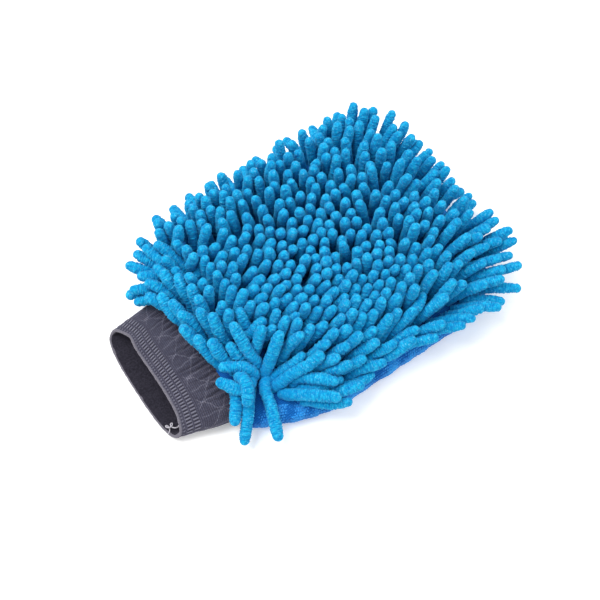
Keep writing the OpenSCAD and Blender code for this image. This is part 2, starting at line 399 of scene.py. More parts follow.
def near_pairs(points, owner, reach):
    """Index pairs of points of different noodles that are closer than reach."""
    cell = np.floor(points[:, :2] / reach).astype(int)
    cell -= cell.min(0)
    width = cell[:, 1].max() + 3
    key = cell[:, 0] * width + cell[:, 1] + 1
    order = np.argsort(key, kind="stable")
    sorted_key = key[order]
    firsts, seconds = [], []
    for shift in (0, 1, width - 1, width, width + 1):
        low = np.searchsorted(sorted_key, sorted_key + shift, "left")
        high = np.searchsorted(sorted_key, sorted_key + shift, "right")
        if shift == 0:
            low = np.arange(len(order)) + 1
        count = np.maximum(high - low, 0)
        a = np.repeat(np.arange(len(order)), count)
        start = np.repeat(np.cumsum(count) - count, count)
        b = np.repeat(low, count) + np.arange(count.sum()) - start
        firsts.append(order[a])
        seconds.append(order[b])
    a, b = np.concatenate(firsts), np.concatenate(seconds)
    keep = owner[a] != owner[b]
    a, b = a[keep], b[keep]
    close = ((points[a] - points[b]) ** 2).sum(1) < reach**2
    return a[close], b[close]


# A noodle is a chain of points. Each step pulls it to its combing and smooths it, then every two that
# are too close push each other apart.
LINKS = 8
SETTLE_STEPS = 280
STIFFNESS = 0.06
START_UPRIGHT = 0.4
SMOOTHING = 0.25
PUSH = 0.45
CLOSEST = 0.98
TIP_CROWDING = 0.16
NEIGHBOUR_REACH = 2 * NOODLE_R + 4
NEIGHBOUR_STEPS = 4
SHARPEST_COSINE = 0.88


def settle_noodles(roots, lengths, radii, root_dir, tip_dir):
    """The noodles' points, bent to their combing while the noodles keep out of each other and the mitt."""
    count = len(roots)
    share = np.linspace(0, 1, LINKS)
    link = (lengths / (LINKS - 1))[:, None]
    blend = share[None, 1:, None] ** 0.8
    wanted = unit(root_dir[:, None] * (1 - blend) + tip_dir[:, None] * blend)
    offset = np.concatenate([np.zeros((count, 1, 3)), np.cumsum(wanted * link[..., None], 1)], 1)
    upright = UP * (share[None, :, None] * START_UPRIGHT * lengths[:, None, None])
    points = roots[:, None] + offset * (1 - START_UPRIGHT) + upright
    owner = np.repeat(np.arange(count), LINKS)
    radius = np.repeat(radii, LINKS)
    crowd = radius * np.tile(1 + TIP_CROWDING * share**2, count)
    movable = np.tile(np.clip(share * 3, 0, 1), count)
    for step in range(SETTLE_STEPS):
        pull = STIFFNESS * (0.4 + 0.6 * step / SETTLE_STEPS)
        points[:, 1:] += (roots[:, None] + offset - points)[:, 1:] * pull
        points[:, 1:-1] += SMOOTHING * ((points[:, :-2] + points[:, 2:]) / 2 - points[:, 1:-1])
        flat = points.reshape(-1, 3)
        if step % NEIGHBOUR_STEPS == 0:
            a, b = near_pairs(flat, owner, NEIGHBOUR_REACH)
        apart = flat[b] - flat[a]
        distance = np.maximum(np.linalg.norm(apart, axis=1), 1e-6)
        overlap = np.maximum((crowd[a] + crowd[b]) * CLOSEST - distance, 0)
        push = apart / distance[:, None] * overlap[:, None]
        total = movable[a] + movable[b] + 1e-6
        for axis in range(3):
            move = PUSH * push[:, axis]
            flat[:, axis] -= np.bincount(a, move * movable[a] / total, len(flat))
            flat[:, axis] += np.bincount(b, move * movable[b] / total, len(flat))
        points = push_out_of_mitt(flat, radius).reshape(count, LINKS, 3)
        points[:, 0] = roots
        before = unit(points[:, 1] - points[:, 0])
        for k in range(1, LINKS):
            along = unit(points[:, k] - points[:, k - 1])
            bend = np.clip(SHARPEST_COSINE - (along * before).sum(1, keepdims=True), 0, 2)
            before = unit(along + 2 * bend * before)
            points[:, k] = points[:, k - 1] + before * link
    return points


# ---- noodles as yarn

RIB_PITCH = 1.45
RIB_DEPTH = 0.045
TUFT_HEIGHT = 0.030
GIRTH_DRIFT = 0.03
RING_STEP = 0.30
NOODLE_SIDES = 26
ROOT_SUNK = 1.5
TIP_RINGS = 9
TIP_PETALS = 7
TIP_SLIM, TIP_SLIM_LEN = 0.13, 5
TIP_TUFT_LEN = 3
CAP_END = 86


def noodle_skin(nodes, radius, rng):
    """Points and faces of one chenille noodle with a round tip. Also how deep each point lies
    between the tufts, and how far it is along the noodle."""
    nodes = np.vstack([nodes[0] - unit(nodes[1] - nodes[0]) * ROOT_SUNK, nodes])
    length = np.linalg.norm(np.diff(nodes, axis=0), axis=1).sum()
    rings = int(length / RING_STEP)
    path = smooth_path(nodes, rings)
    along, side, top = sweep_frames(path)
    travel = np.linspace(0, length, rings)
    slim = 1 - TIP_SLIM * np.clip(1 - (length - travel) / TIP_SLIM_LEN, 0, 1) ** 1.5
    cap = np.radians(np.linspace(0, CAP_END, TIP_RINGS + 1))[1:]
    path = np.vstack([path, path[-1] + along[-1] * (radius * slim[-1] * np.sin(cap))[:, None]])
    side = np.vstack([side, np.repeat(side[-1:], len(cap), 0)])
    top = np.vstack([top, np.repeat(top[-1:], len(cap), 0)])
    shape = np.concatenate([slim, slim[-1] * np.cos(cap)])
    on_tip = np.concatenate([np.clip(1 - (length - travel) / TIP_TUFT_LEN, 0, 1), np.ones(TIP_RINGS)])
    travel = np.concatenate([travel, length + radius * cap])
    slow = np.interp(travel, np.linspace(0, travel[-1], 6), rng.normal(0, 1, 6))
    wander = np.interp(travel, np.linspace(0, travel[-1], 9), rng.normal(0, 0.25, 9))
    turn = full_turn(NOODLE_SIDES)[None, :] + rng.random() * 2 * np.pi
    phase = travel[:, None] / RIB_PITCH + wander[:, None] + 0.35 * np.sin(turn) + 0.2 * np.sin(3 * turn)
    valley = (0.5 - 0.5 * np.cos(2 * np.pi * phase)) ** 1.5 * (1 - 0.6 * on_tip[:, None])
    petals = 0.5 - 0.5 * np.cos(TIP_PETALS * turn + 0.8 * np.sin(2 * turn))
    valley = valley + petals**2 * (on_tip * np.sqrt(shape))[:, None] * 0.55
    tuft = rng.normal(0, 1, valley.shape)
    tuft += 0.6 * (np.roll(tuft, 1, 1) + np.roll(tuft, -1, 1))
    tuft[1:] += 0.7 * tuft[:-1]
    tuft[2:] += 0.3 * tuft[:-2]
    girth = 1 + GIRTH_DRIFT * slow[:, None] - RIB_DEPTH * valley + TUFT_HEIGHT * tuft
    points = rings_round(path, side, top, radius * shape[:, None] * girth, NOODLE_SIDES)
    quads, caps = grid_faces(len(path), NOODLE_SIDES), end_caps(len(path), NOODLE_SIDES)
    # how deep a point lies between the tufts, which the chenille material darkens as painted shade
    shade_depth = np.clip(0.6 * valley - 0.2 * tuft, 0, 1)
    share = np.repeat((travel / travel[-1])[:, None], NOODLE_SIDES, 1)
    return points.reshape(-1, 3), quads, caps, shade_depth.ravel(), share.ravel()


ROOT_LIFT = 0.6
LENGTH_SPREAD = 1.5
GIRTH_SPREAD = 0.03
LEAN_SPREAD = 0.07
TIP_SPREAD = 0.12
STRAY_GIRTH = 1.10
STRAY_TIP_SPREAD = 0.04


def front_normal(x, y, reach=0.5):
    """Unit normals of the pocket's front, from its slope over reach each way."""
    return unit(np.stack([
        (front_height(x - reach, y) - front_height(x + reach, y)) / (2 * reach),
        (front_height(x, y - reach) - front_height(x, y + reach)) / (2 * reach),
        np.ones(len(x)),
    ], 1))


def add_rows(material):
    """The noodles, one piece for each sewn row."""
    rng = np.random.default_rng(7)
    row_of, places, stray = noodle_roots(rng)
    count = len(places)
    x, y = places.T
    roots = np.stack([x, y, front_height(x, y) + ROOT_LIFT], 1)
    lengths = NOODLE_LEN - NOODLE_R + rng.normal(0, LENGTH_SPREAD, count)
    lengths[stray] = np.array(STRAYS)[:, 4] - NOODLE_R
    radii = NOODLE_R * (1 + rng.normal(0, GIRTH_SPREAD, count)) * np.where(stray, STRAY_GIRTH, 1.0)
    combed = comb_direction(x, y)
    combed[stray] = directions(np.array(STRAYS))
    lean = rng.normal(0, LEAN_SPREAD, (count, 3))
    root_dir = unit(front_normal(x, y) * 0.6 + combed * 0.7 + lean)
    tip_spread = np.where(stray, STRAY_TIP_SPREAD, TIP_SPREAD)[:, None]
    tip_dir = unit(combed + rng.normal(0, 1, (count, 3)) * tip_spread)
    lines = settle_noodles(roots, lengths, radii, root_dir, tip_dir)
    pieces = []
    for i, name in enumerate(ROWS):
        skins = [noodle_skin(lines[n], radii[n], rng) for n in np.flatnonzero(row_of == i)]
        points, quads, caps, shade_depth, share = zip(*skins)
        firsts = np.cumsum([0] + [len(skin) for skin in points])
        faces = [np.vstack([f + first for f, first in zip(group, firsts)]) for group in (quads, caps)]
        piece = add_mesh(name.replace("noodle", "chenille"), np.vstack(points), faces, material,
                         {"valley": np.concatenate(shade_depth), "along": np.concatenate(share)})
        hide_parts(name)
        pieces.append(piece)
    return pieces


# ---- pocket cloth

def ripple(t, seed, waves=6, low=0.5, high=2.0):
    """Smooth noise of about unit size along t, with wavelengths between 1/high and 1/low."""
    rng = np.random.default_rng(seed)
    speed = np.linspace(low, high, waves)
    phase = rng.random(waves) * 2 * np.pi
    return sum(np.sin(2 * np.pi * s * t + p) for s, p in zip(speed, phase)) / math.sqrt(waves / 2)


FRONT_STEP = 0.9
RIDGE_HALF_W, RIDGE_H = 1.3, 0.5
CLOTH_DROP = 0.6


def add_front_cloth(material):
    """The knitted base of the noodles, with a sewn ridge under each row."""
    rows = int((END_X - NECK_X) / FRONT_STEP)
    across = int(2 * HALF_W / FRONT_STEP)
    share = np.linspace(0, 1, rows)
    x = NECK_X + (END_X - NECK_X) * np.sin(share * np.pi / 2) ** 0.8
    v = np.sin(np.linspace(-1, 1, across) * np.pi / 2)
    grid_x = np.repeat(x[:, None], across, 1)
    half = half_width(grid_x)
    grid_y = v[None, :] * half
    z = front_height(grid_x, grid_y)
    ridge = np.exp(-(np.abs(grid_x[..., None] - ROOT_X).min(-1) / RIDGE_HALF_W) ** 2)
    z = z - CLOTH_DROP + RIDGE_H * ridge + 0.12 * ripple(grid_x * 0.09 + grid_y * 0.05, 3)
    points = np.stack([grid_x, grid_y, z], -1)
    faces = grid_faces(rows, across, closed_around=False)[:, ::-1]
    piece = add_mesh("front_cloth", points, faces, material)
    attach(piece, "mitt")
    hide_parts("front_base_cloth")
    return piece


LOOP_PITCH = 1.8
LOOP_HIGH = 0.75
LOOP_TABLE = 64
EDGE_CELLS = 4
UNDER_CELLS = 3
# The edge's profile: over the front, round the side, and a flat strip under the pocket.
EDGE_OVER = 10.0
EDGE_R = 6.0
EDGE_FLAT = 5.0
EDGE_LIFT = 0.3
SIDE_POINTS, END_POINTS = 400, 60
CORNER_SMOOTHING = 12


def outline(step):
    """Points at even steps round the pocket in plan from the near neck corner, their normals, and
    how far each is from the first."""
    turn = np.sin(np.linspace(0, np.pi / 2, SIDE_POINTS)) ** 0.9
    x = NECK_X + (END_X - NECK_X) * turn
    half = half_width(x)
    near = np.stack([x, -half], 1)
    end = np.stack([np.full(END_POINTS, END_X), np.linspace(-half[-1], half[-1], END_POINTS)], 1)
    line = np.vstack([near, end[1:-1], near[::-1] * [1, -1]])
    length = distance_along(line)[-1]
    even = np.linspace(0, length, int(round(length / step)) + 1)
    line = points_at(line, even)
    along = unit(np.gradient(line, axis=0))
    for _ in range(CORNER_SMOOTHING):
        along[1:-1] = (along[:-2] + along[1:-1] + along[2:]) / 3
    along = unit(along)
    return line, np.stack([along[:, 1], -along[:, 0]], 1), even


def loops(a, b, seed):
    """Height of towelling loops at a, b counted in loops, with each loop's own size and lean."""
    rng = np.random.default_rng(seed)
    size = rng.normal(1, 0.16, (LOOP_TABLE, LOOP_TABLE))
    shift = rng.normal(0, 0.10, (2, LOOP_TABLE, LOOP_TABLE))
    i, j = np.floor(a).astype(int), np.floor(b).astype(int)
    own = i % LOOP_TABLE, j % LOOP_TABLE
    da = a - i - 0.5 + shift[0][own]
    db = b - j - 0.5 + shift[1][own]
    round_top = np.clip(1 - (da / 0.52) ** 2 - (db / 0.56) ** 2, 0, 1)
    return np.sqrt(round_top) * size[own]


def add_towelling_edge(material):
    """The looped cloth where it turns up at the pocket's sides to the seam."""
    step = LOOP_PITCH / EDGE_CELLS
    line, normal, travel = outline(step)
    over = EDGE_OVER * np.linspace(1, 0, 60) ** 1.5
    quarter = np.linspace(0, np.pi / 2, 30)
    profile = np.vstack([
        np.stack([-over, crown(1 - over / HALF_W)], 1),
        np.stack([EDGE_R * (np.cos(quarter) - 1), EDGE_R * (1 - np.sin(quarter))], 1),
        [[-EDGE_R - EDGE_FLAT, 0]],
    ])
    down = np.arange(0, distance_along(profile)[-1], step)
    profile = points_at(profile, down)
    along = unit(np.gradient(profile, axis=0))
    face_out = np.stack([-along[:, 1], along[:, 0]], 1)
    a, b = travel[:, None] / LOOP_PITCH, down[None, :] / LOOP_PITCH
    high = loops(a + 0.5 * np.floor(b), b, 11) * LOOP_HIGH - LOOP_HIGH
    high = high + 0.25 * ripple(travel[:, None] / 26 + down[None, :] / 60, 5) + EDGE_LIFT
    reach = profile[None, :, 0] + face_out[None, :, 0] * high
    height = profile[None, :, 1] + face_out[None, :, 1] * high
    points = np.concatenate([
        line[:, None] + normal[:, None] * reach[..., None], np.maximum(height, CLOTH_CLEAR)[..., None]
    ], -1)
    # how far a point lies between the loops, which the towelling material darkens as painted shade
    deep = EDGE_LIFT - high / LOOP_HIGH
    faces = grid_faces(*points.shape[:2], closed_around=False)[:, ::-1]
    piece = add_mesh("towelling_edge", points, faces, material, {"valley": np.clip(deep, 0, 1)})
    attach(piece, "mitt")
    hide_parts("back_panel")
    return piece


def add_towelling_back(material):
    """The looped cloth of the flat back, inside the turned-up edge."""
    step = LOOP_PITCH / UNDER_CELLS
    inset = EDGE_R + EDGE_FLAT - 1.0
    x = np.arange(NECK_X, END_X - inset + step, step)
    y = np.arange(-HALF_W, HALF_W + step, step)
    grid_x, grid_y = np.meshgrid(x, y, indexing="ij")
    grid_x = np.minimum(grid_x, END_X - inset)
    limit = np.maximum(half_width(grid_x + 1.0) - inset, 5)
    limit = np.minimum(limit, half_width(np.minimum(grid_x + inset * 0.72, END_X)) - inset * 0.3)
    inside = np.abs(grid_y) < limit + step
    clipped_y = np.clip(grid_y, -limit, limit)
    high = loops(grid_x / LOOP_PITCH + 200, grid_y / LOOP_PITCH + 200, 12) * LOOP_HIGH
    high = high + 0.15 * ripple(grid_x / 40 + grid_y / 70, 6)
    points = np.stack([grid_x, clipped_y, np.maximum(LOOP_HIGH + 0.1 - high, CLOTH_CLEAR)], -1)
    faces = grid_faces(*points.shape[:2], closed_around=False)
    faces = faces[inside.ravel()[faces].all(1)]
    used, faces = np.unique(faces, return_inverse=True)
    # valley: how far a point lies between the loops, darkened in the towelling material as painted shade
    piece = add_mesh("towelling_back", points.reshape(-1, 3)[used], faces.reshape(-1, 4)[:, ::-1], material,
                     {"valley": np.clip(1 - high / LOOP_HIGH, 0, 1).ravel()[used]})
    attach(piece, "mitt")
    return piece


# ---- cuff

CUFF_X, LIP_X = CUFF_HIGH[0], RIM_LOW[0]
CUFF_LEN = CUFF_X - LIP_X
JOIN_HALF_W, OPEN_HALF_W = CUFF_HIGH[1], RIM_HIGH[1]
JOIN_H, OPEN_H = CUFF_HIGH[2], 17.0
FAR_JOIN_HALF_W = 51.0
# The opening's upper side is this much nearer the pocket than its lower side.
RIM_SETBACK = 15.0
RIM_R = 1.05
RIM_SIDES = 14
PLY_T = 1.0
PLY_GAP = 0.8
RELIEF_SUNK = 0.25
CUFF_SIDES = 600
RING_POINTS = 480
CUFF_STEP = 0.36
CUFF_IN_POCKET = 0.06
OVAL_POWER = 0.75
TAPER_END = 0.75
MID_HALF_W, MID_HALF_H = 52, 9
SIDE_SEAM_ANGLE = math.radians(215)
CREASE_ANGLE, CREASE_HALF_W, CREASE_DEPTH = math.radians(189), 0.035, 1.3


def ease(t):
    return (1 - np.cos(np.pi * t)) / 2


def oval(v):
    """A sine or cosine, with a power that makes the cuff's section fuller than an ellipse."""
    return np.sign(v) * np.abs(v) ** OVAL_POWER


def bump_at(y, middle, width):
    return np.exp(-((y - middle) / width) ** 2)


def cuff_surface(s, angle, inset):
    """Points of the cuff: s from 0 at the pocket to 1 at the lip, angle in radians round from +Y."""
    s, angle = np.broadcast_arrays(s, angle)
    join_half = np.where(np.cos(angle) > 0, FAR_JOIN_HALF_W, JOIN_HALF_W)
    half = join_half + (OPEN_HALF_W - join_half) * ease(TAPER_END * s) / ease(TAPER_END)
    high = (JOIN_H + (OPEN_H - JOIN_H) * s) / 2
    up, out = oval(np.sin(angle)), oval(np.cos(angle))
    length = CUFF_LEN - RIM_SETBACK * (1 + up) / 2
    y = (half - inset) * out
    top = np.clip(up, 0, 1)
    wave_x = top * s * (2.6 * bump_at(y, 33, 7) - 1.4 * bump_at(y, -44, 6))
    dent = top * s**3 * (1.6 * bump_at(y, 10, 9) - 0.9 * bump_at(y, 31, 8))
    return np.stack([CUFF_X - length * s + wave_x, y, high + (high - inset) * up - dent], -1)


def around_mm(angle, half, high):
    """Distance round the cuff at even angles, from a ring of that size."""
    ring = np.stack([half * oval(np.cos(angle)), high * oval(np.sin(angle))], 1)
    step = np.linalg.norm(np.roll(ring, -1, 0) - ring, axis=1)
    return np.concatenate([[0], np.cumsum(step)[:-1]]), step.sum()


# Rows of knitted bars: where each starts and ends, in mm from the lip, and how strong it is.
BAR_ROWS = ((1.6, 3.4, 0.55), (4.3, 8.2, 1.0), (9.0, 13.0, 0.9))
BAR_FADE = 0.5
BAR_PITCH = 2.4
LEAF_START = 14.5
LEAF_PITCH = 9.5
LEAF_LEN = 19.0
SHEAR = 0.20


def cuff_relief(back, around):
    """Height in mm and paleness of the knitted pattern, back mm from the lip, around mm round it,
    and how far each place is in a gap between bars."""
    slanted = around + SHEAR * back
    bar = np.cos(2 * np.pi * slanted / BAR_PITCH) * 0.5 + 0.5
    in_rows = sum(
        size * np.clip((back - a) / BAR_FADE, 0, 1) * np.clip((b - back) / BAR_FADE, 0, 1)
        for a, b, size in BAR_ROWS
    )
    bars = in_rows * bar**1.3
    in_leaves = np.clip((back - LEAF_START) / 1.5, 0, 1)
    column = slanted / LEAF_PITCH
    swing = 0.5 * np.cos(2 * np.pi * back / LEAF_LEN) * np.where(np.floor(column) % 2 > 0, 1, -1)
    swing = swing + 0.05 * np.sin(2 * np.pi * back / 4.3 + 2.1 * np.floor(column))
    to_rib = np.abs(column - np.round(column) + 0.03 * np.sin(back * 0.9)) * LEAF_PITCH
    to_vein = np.abs(column - np.floor(column) - 0.5 - swing * 0.92) * LEAF_PITCH
    line = np.exp(-(to_vein / 0.40) ** 2) + 0.75 * np.exp(-(to_rib / 0.36) ** 2)
    line = line * in_leaves * (0.62 + 0.38 * np.cos(2 * np.pi * back / 1.45))
    height = 0.42 * bars - 0.30 * in_rows * (1 - bar) + 0.22 * line
    return height, np.clip(0.9 * bars + 0.75 * line, 0, 1), np.clip(in_rows * (1 - bar) ** 1.5, 0, 1)


def gathers(s, around, total):
    """The cuff's folds where it is sewn into the pocket: 0 at the lip, deepest at the seam."""
    turn = around / total
    reach = 0.5 + 0.14 * ripple(turn, 22, low=9, high=30)
    near_seam = np.clip(1 - s / reach, 0, 1) ** 1.2
    folds = ripple(turn, 21, waves=9, low=34, high=66)
    return near_seam * (-0.8 + 0.8 * folds)


def outward(points):
    """Unit normals of a grid of points, rings by points around."""
    around = (np.roll(points, -1, 1) - np.roll(points, 1, 1)) / 2
    return unit(np.cross(np.gradient(points, axis=0), around))


def add_cuff_plies(outer_material, inner_material):
    """The cuff's patterned outside and its plain lining, each a closed shell."""
    # angles at even distances round the cuff
    fine = full_turn(4 * CUFF_SIDES)
    length, total = around_mm(fine, MID_HALF_W, MID_HALF_H)
    angle = np.interp(np.linspace(0, total, CUFF_SIDES, endpoint=False), length, fine)
    around, total = around_mm(angle, MID_HALF_W, MID_HALF_H)
    steps = int(CUFF_LEN / CUFF_STEP)
    s = np.linspace(-CUFF_IN_POCKET, 1 - RIM_R * 0.9 / CUFF_LEN, steps)[:, None]
    base = cuff_surface(s, angle[None, :], 0)
    back = (CUFF_LEN - RIM_SETBACK * (1 + oval(np.sin(angle))) / 2)[None, :] * (1 - s)
    relief, pale, gap = cuff_relief(back, around[None, :])
    folds = gathers(np.clip(s, 0, 1), around[None, :], total)
    crease = bump_at(angle, CREASE_ANGLE, CREASE_HALF_W)[None, :] * np.clip((1 - s) * 8, 0, 1)
    folds = folds - CREASE_DEPTH * crease
    outer = base + outward(base) * (relief - RELIEF_SUNK + folds)[..., None]
    inner_s = np.linspace(s[-1, 0], s[0, 0], 14)[:, None]
    inside = cuff_surface(inner_s, angle[None, :], PLY_T + 0.6)
    points = np.concatenate([outer, inside])
    points[..., 2] = np.maximum(points[..., 2], CUFF_CLEAR)
    flat = np.zeros((len(inside), CUFF_SIDES))
    # gap and fold are masks that the cuff material darkens: painted shade between the bars and in the folds
    shown = {
        "pale": pale, "gap": gap, "fold": np.clip(-folds, 0, 2.5) / 2.5,
        "around": around + SHEAR * back, "back": back,
    }
    shown = {key: np.concatenate([value, flat]) for key, value in shown.items()}
    outer_ply = add_mesh("cuff_knit", points, grid_faces(len(points), CUFF_SIDES, True),
                         outer_material, shown)
    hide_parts("cuff_outer_ply")
    angle, around = angle[::2], around[::2]
    lining_s = np.linspace(-CUFF_IN_POCKET, 1 - RIM_R / CUFF_LEN, steps // 2)[:, None]
    first = cuff_surface(lining_s, angle[None, :], PLY_T + PLY_GAP)
    second = cuff_surface(lining_s, angle[None, :], 2 * PLY_T + PLY_GAP)
    wale = 0.10 * np.cos(2 * np.pi * around / 1.7) + 0.25 * ripple(around / total, 23, low=8, high=20)
    second = second + outward(second) * wale[None, :, None]
    points = np.concatenate([first, second[::-1]])
    inner_ply = add_mesh("cuff_lining", points, grid_faces(len(points), len(angle), True),
                         inner_material)
    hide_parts("cuff_inner_ply")
    return outer_ply, inner_ply


def add_cuff_rim(material):
    """The rolled edge of the opening."""
    angle = full_turn(RING_POINTS)
    path = cuff_surface(1 - RIM_R / CUFF_LEN, angle, PLY_T + 0.25)
    around, total = around_mm(angle, OPEN_HALF_W, OPEN_H / 2)
    along = unit(np.roll(path, -1, 0) - np.roll(path, 1, 0))
    side = unit(np.cross(along, [0.9, 0.0, 0.3]))
    top = np.cross(side, along)
    radius = RIM_R * (1 + 0.05 * np.cos(2 * np.pi * around / 1.2)
                      + 0.06 * ripple(around / total, 31, low=12, high=40))
    points = rings_round(path, side, top, radius[:, None], RIM_SIDES, 1.25)
    points[..., 2] = np.maximum(points[..., 2], CUFF_CLEAR)
    rim = add_mesh("cuff_edge", points, grid_faces(RING_POINTS, RIM_SIDES, True), material)
    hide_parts("cuff_rim")
    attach(rim, "cuff")
    return rim


def add_cuff_side_seam(material):
    """A line of stitches along the cuff, four rings to a stitch."""
    count = 90
    path = cuff_surface(np.linspace(0.02, 0.95, count), SIDE_SEAM_ANGLE, -0.1)
    radius = 0.55 * (1 + 0.22 * np.cos(np.arange(count) * 2 * np.pi / 4))
    points, faces = tube(path, radius[:, None], 10)
    points[:, 2] = np.maximum(points[:, 2], CLOTH_CLEAR)
    seam = add_mesh("cuff_side_stitching", points, faces, material)
    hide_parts("cuff_side_seam")
    return seam


def add_thread_tail(material):
    """The thread's loose end, which curls inside the opening."""
    t = np.linspace(0, 1, 160)
    root = cuff_surface(0.83, SIDE_SEAM_ANGLE, 2 * PLY_T + 1.4)
    curl = np.stack([
        -8 * t + 1.5 * np.sin(16 * t), 5 * np.sin(2.6 * t) + 1.5 * np.cos(16 * t) - 1.5,
        2.2 * np.sin(3.1 * t) + 0.8 * np.sin(11 * t),
    ], 1)
    points, faces = tube(root + curl, 0.42, 8)
    tail = add_mesh("loose_thread", points, faces, material)
    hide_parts("thread_tail")
    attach(tail, "cuff")
    return tail


def add_join_seam(material):
    """The gathered end of the pocket, turned in round the cuff."""
    section = 16
    angle = full_turn(RING_POINTS)
    # the pocket's end: the crown of the front above, and the edge's round corner below
    share = np.arcsin(np.abs(np.sin(angle))) / (np.pi / 2)
    half, floor = NECK_HALF_W - 0.4, 0.3
    corner = np.linspace(0, np.pi / 2, 9)
    stops = np.concatenate([[0], np.linspace(0.12, 0.35, 9), [1]])
    corner_y = half - EDGE_R + EDGE_R * np.cos(corner)
    corner_z = floor + EDGE_R - EDGE_R * np.sin(corner)
    low_y = np.interp(share, stops, np.concatenate([[half], corner_y, [0]]))
    low_z = np.interp(share, stops, np.concatenate([[SEAM_Z], corner_z, [floor]]))
    top_v = np.cos(share * np.pi / 2) ** 0.8
    above = np.sin(angle) > 0
    pocket_y = np.where(above, half * top_v, low_y) * np.sign(np.cos(angle))
    pocket_z = np.where(above, crown(top_v) - 0.9 * (1 - top_v), low_z)
    cuff = cuff_surface(0.0, angle, 0.9)
    turn = full_turn(section)
    weight = (0.5 + 0.5 * np.cos(turn))[None, :]
    y = pocket_y[:, None] * weight + cuff[:, None, 1] * (1 - weight)
    z = pocket_z[:, None] * weight + cuff[:, None, 2] * (1 - weight)
    fold = ripple(angle / (2 * np.pi), 41, waves=8, low=30, high=70)[:, None]
    bulge = (2.4 + 0.7 * fold) * np.sin(turn)[None, :]
    points = np.stack([NECK_X + 1.6 - bulge, y, np.maximum(z, CUFF_CLEAR)], -1)
    seam = add_mesh("gathered_end", points, grid_faces(RING_POINTS, section, True), material)
    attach(seam, "mitt")
    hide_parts("cuff_join_seam")
    return seam


# ---- materials

def new_material(name, color, roughness=0.9, sheen=0.0, sheen_tint=(1, 1, 1), sheen_roughness=0.5):
    material = bpy.data.materials.new(name)
    material.use_nodes = True
    shader = material.node_tree.nodes["Principled BSDF"]
    shader.inputs["Base Color"].default_value = (*color, 1)
    shader.inputs["Roughness"].default_value = roughness
    shader.inputs["Specular IOR Level"].default_value = 0.15
    shader.inputs["Sheen Weight"].default_value = sheen
    shader.inputs["Sheen Roughness"].default_value = sheen_roughness
    shader.inputs["Sheen Tint"].default_value = (*sheen_tint, 1)
    return material


class Nodes:
    """Short calls for making and joining a material's nodes."""

    def __init__(self, material):
        self.tree = material.node_tree
        self.shader = self.tree.nodes["Principled BSDF"]
        self.place = self.tree.nodes.new("ShaderNodeTexCoord").outputs["Object"]

    def put(self, socket, value):
        """Sets a socket to a node's output, a number, or a colour of three numbers."""
        if isinstance(value, bpy.types.NodeSocket):
            self.tree.links.new(value, socket)
        else:
            socket.default_value = (*value, 1.0) if isinstance(value, tuple) else value

    def attribute(self, name):
        made = self.tree.nodes.new("ShaderNodeAttribute")
        made.attribute_name = name
        return made.outputs["Fac"]

    def noise(self, scale, detail=2.0):
        made = self.tree.nodes.new("ShaderNodeTexNoise")
        made.inputs["Scale"].default_value = scale
        made.inputs["Detail"].default_value = detail
        self.put(made.inputs["Vector"], self.place)
        return made.outputs["Fac"]

    def math(self, operation, a, b=0.0):
        made = self.tree.nodes.new("ShaderNodeMath")
        made.operation = operation
        self.put(made.inputs[0], a)
        self.put(made.inputs[1], b)
        return made.outputs[0]

    def mix(self, factor, a, b):
        made = self.tree.nodes.new("ShaderNodeMix")
        made.data_type = "RGBA"
        self.put(made.inputs[0], factor)
        self.put(made.inputs[6], a)
        self.put(made.inputs[7], b)
        return made.outputs[2]

    def spread(self, value, low, high):
        """value from low..high stretched to 0..1."""
        made = self.tree.nodes.new("ShaderNodeMapRange")
        self.put(made.inputs["Value"], value)
        made.inputs["From Min"].default_value = low
        made.inputs["From Max"].default_value = high
        return made.outputs["Result"]

    def patches(self, scale, a, b):
        """Colour that drifts between a and b."""
        return self.mix(self.spread(self.noise(scale), 0.35, 0.65), a, b)

    def tint(self, base, mask, share, color):
        """base, with this share of another colour where mask is 1."""
        return self.mix(self.math("MULTIPLY", mask, share), base, color)

    def color(self, value):
        self.put(self.shader.inputs["Base Color"], value)

    def bump(self, height, distance, strength):
        made = self.tree.nodes.new("ShaderNodeBump")
        made.inputs["Strength"].default_value = strength
        made.inputs["Distance"].default_value = distance
        self.put(made.inputs["Height"], height)
        self.put(self.shader.inputs["Normal"], made.outputs["Normal"])


def chenille_material():
    material = new_material("chenille", (0.005, 0.34, 0.7), 0.95, 0.28, (0.30, 0.72, 1.0), 0.4)
    nodes = Nodes(material)
    base = nodes.patches(70.0, (0.004, 0.375, 0.65), (0.012, 0.450, 0.75))
    mottle = nodes.spread(nodes.noise(450.0, 2.0), 0.38, 0.60)
    base = nodes.mix(mottle, (0.0, 0.275, 0.56), base)
    flecks = nodes.spread(nodes.noise(1000.0, 3.0), 0.54, 0.74)
    base = nodes.tint(base, flecks, 0.4, (0.32, 0.74, 0.94))
    # painted shade: darker where a point lies deep between the tufts
    base = nodes.tint(base, nodes.attribute("valley"), 0.95, (0.0, 0.185, 0.48))
    # painted shade: darker towards each noodle's root, where the noodles crowd together
    root_shade = nodes.spread(nodes.attribute("along"), 0.55, 0.10)
    nodes.color(nodes.tint(base, root_shade, 0.6, (0.0, 0.225, 0.53)))
    nodes.bump(nodes.noise(1500.0, 3.0), 0.0005, 0.8)
    return material


def towelling_material():
    material = new_material("towelling", (0.01, 0.19, 0.75), 0.95, 0.25, (0.5, 0.75, 1.0), 0.5)
    nodes = Nodes(material)
    base = nodes.patches(60.0, (0.005, 0.205, 0.62), (0.013, 0.270, 0.72))
    flecks = nodes.spread(nodes.noise(1800.0, 3.0), 0.5, 0.75)
    base = nodes.tint(base, flecks, 0.6, (0.20, 0.55, 0.95))
    # painted shade: darker between the loops
    nodes.color(nodes.mix(nodes.attribute("valley"), base, (0.002, 0.08, 0.38)))
    nodes.bump(nodes.noise(3000.0, 3.0), 0.0003, 0.7)
    return material


